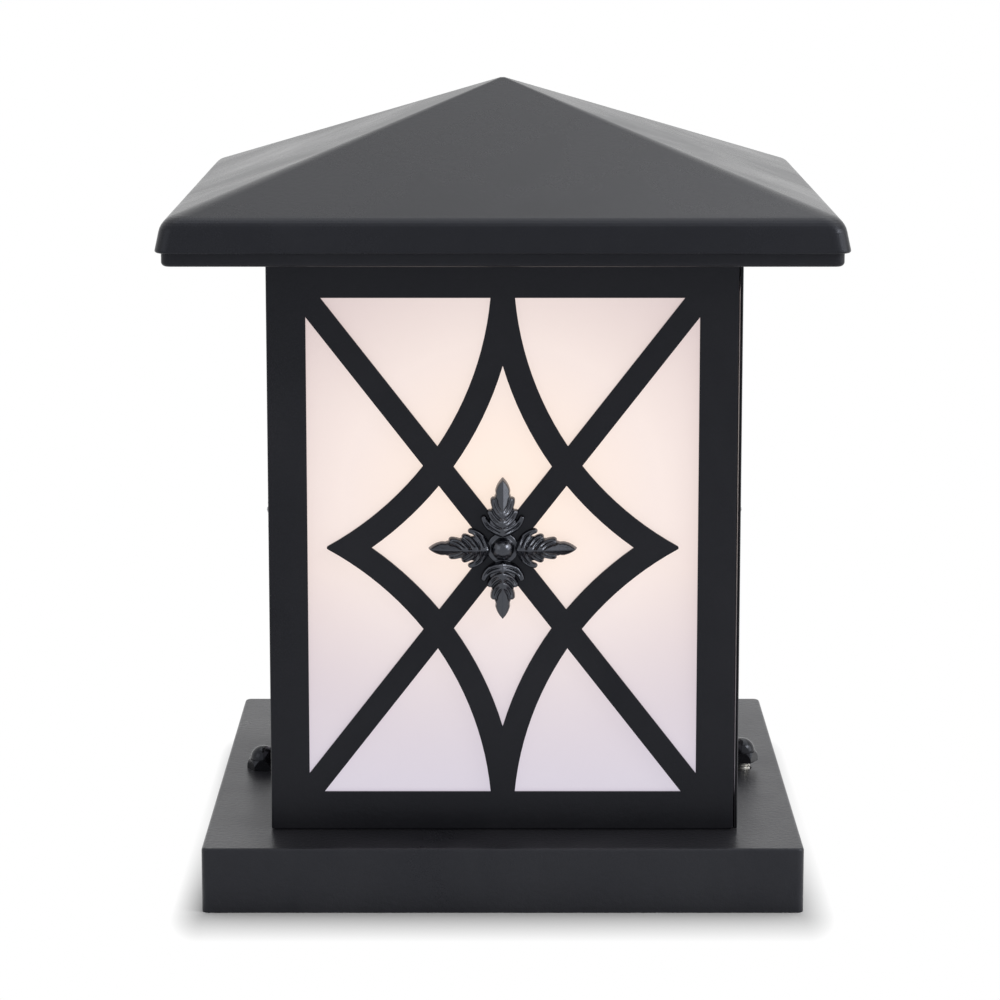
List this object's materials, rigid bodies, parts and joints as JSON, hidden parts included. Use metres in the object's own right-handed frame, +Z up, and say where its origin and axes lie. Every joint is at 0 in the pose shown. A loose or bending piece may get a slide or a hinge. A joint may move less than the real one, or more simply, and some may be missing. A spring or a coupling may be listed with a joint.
{
  "type": "landscape light",
  "caption": "Square lantern for a pier or wall top: fretted steel box with lit opal panes and cast rosettes, on a folded pan under a pyramid roof",
  "frame": {"origin": "middle of the base pan's rim, on the surface it stands on", "axes": "+Z up, the pictured face looks along -Y, +X to its right"},
  "size_m": [0.2226, 0.2226, 0.2703],
  "materials": {
    "box_paint": "satin black powder coat, fine texture",
    "pan_paint": "satin black powder coat, fine texture",
    "roof_paint": "satin black powder coat, fine texture",
    "cast_paint": "semi-gloss black paint over a casting",
    "nut_black": "gloss black plating",
    "zinc": "bright zinc plate",
    "rivet_metal": "plain aluminium",
    "opal": "opal acrylic, lit from behind",
    "holder_plastic": "moulded phenolic",
    "brass": "plain pressed brass",
    "bulb_metal": "bright rolled shell",
    "bulb_black": "black glassy insulator",
    "bulb_white": "white moulded plastic",
    "bulb_glow": "frosted diffuser, lit",
    "lead_brown": "brown insulation",
    "lead_blue": "blue insulation",
    "lead_green": "green insulation with a yellow stripe",
    "block_plastic": "natural nylon",
    "rubber": "moulded rubber"
  },
  "bodies": {
    "bracket": {"mounting_strap": "zinc", "strap_studs": "zinc", "stud_lock_nuts": "zinc", "strap_earth_screw": "zinc"},
    "lantern": {"base_pan": "pan_paint", "foot_frame": "box_paint", "head_frame": "box_paint", "corner_posts": "box_paint", "front_panel": "box_paint", "back_panel": "box_paint", "left_panel": "box_paint", "right_panel": "box_paint", "front_pane": "opal", "back_pane": "opal", "left_pane": "opal", "right_pane": "opal", "front_rosette": "cast_paint", "back_rosette": "cast_paint", "left_rosette": "cast_paint", "right_rosette": "cast_paint", "rosette_rivets": "rivet_metal", "roof_tray": "roof_paint", "eave_screws": "nut_black", "foot_screws": "zinc", "foot_nuts": "zinc", "tray_screws": "zinc", "tray_nuts": "zinc", "holder_bracket": "zinc", "bracket_rivets": "rivet_metal", "holder_nipple": "zinc", "nipple_nut": "zinc", "lampholder_body": "holder_plastic", "screw_shell": "brass", "centre_contact": "brass", "live_lead": "lead_brown", "neutral_lead": "lead_blue", "earth_lead": "lead_green", "earth_stud": "zinc", "earth_stud_nuts": "zinc", "terminal_block": "block_plastic", "terminal_screws": "zinc", "cable_grommet": "rubber"},
    "roof": {"roof_cap": "roof_paint", "roof_bosses": "zinc"},
    "bulb": {"bulb_globe": "bulb_glow", "bulb_collar": "bulb_white", "bulb_cap": "bulb_metal", "bulb_insulator": "bulb_black", "bulb_contact": "brass"},
    "nut_left": {"cap_nut_left": "nut_black"},
    "nut_right": {"cap_nut_right": "nut_black"}
  },
  "joints": [
    {"name": "lantern_lift", "type": "slide", "parent": "bracket", "child": "lantern", "axis": [0, 0, 1], "range_m": [0, 0.045]},
    {"name": "roof_lift", "type": "slide", "parent": "lantern", "child": "roof", "axis": [0, 0, 1], "range_m": [0, 0.06]},
    {"name": "bulb_removal", "type": "slide", "parent": "lantern", "child": "bulb", "axis": [0, 0, 1], "range_m": [0, 0.04]},
    {"name": "left_nut_travel", "type": "slide", "parent": "lantern", "child": "nut_left", "axis": [0, 0, 1], "range_m": [0, 0.0065]},
    {"name": "right_nut_travel", "type": "slide", "parent": "lantern", "child": "nut_right", "axis": [0, 0, 1], "range_m": [-0.0028, 0.0037]}
  ]
}
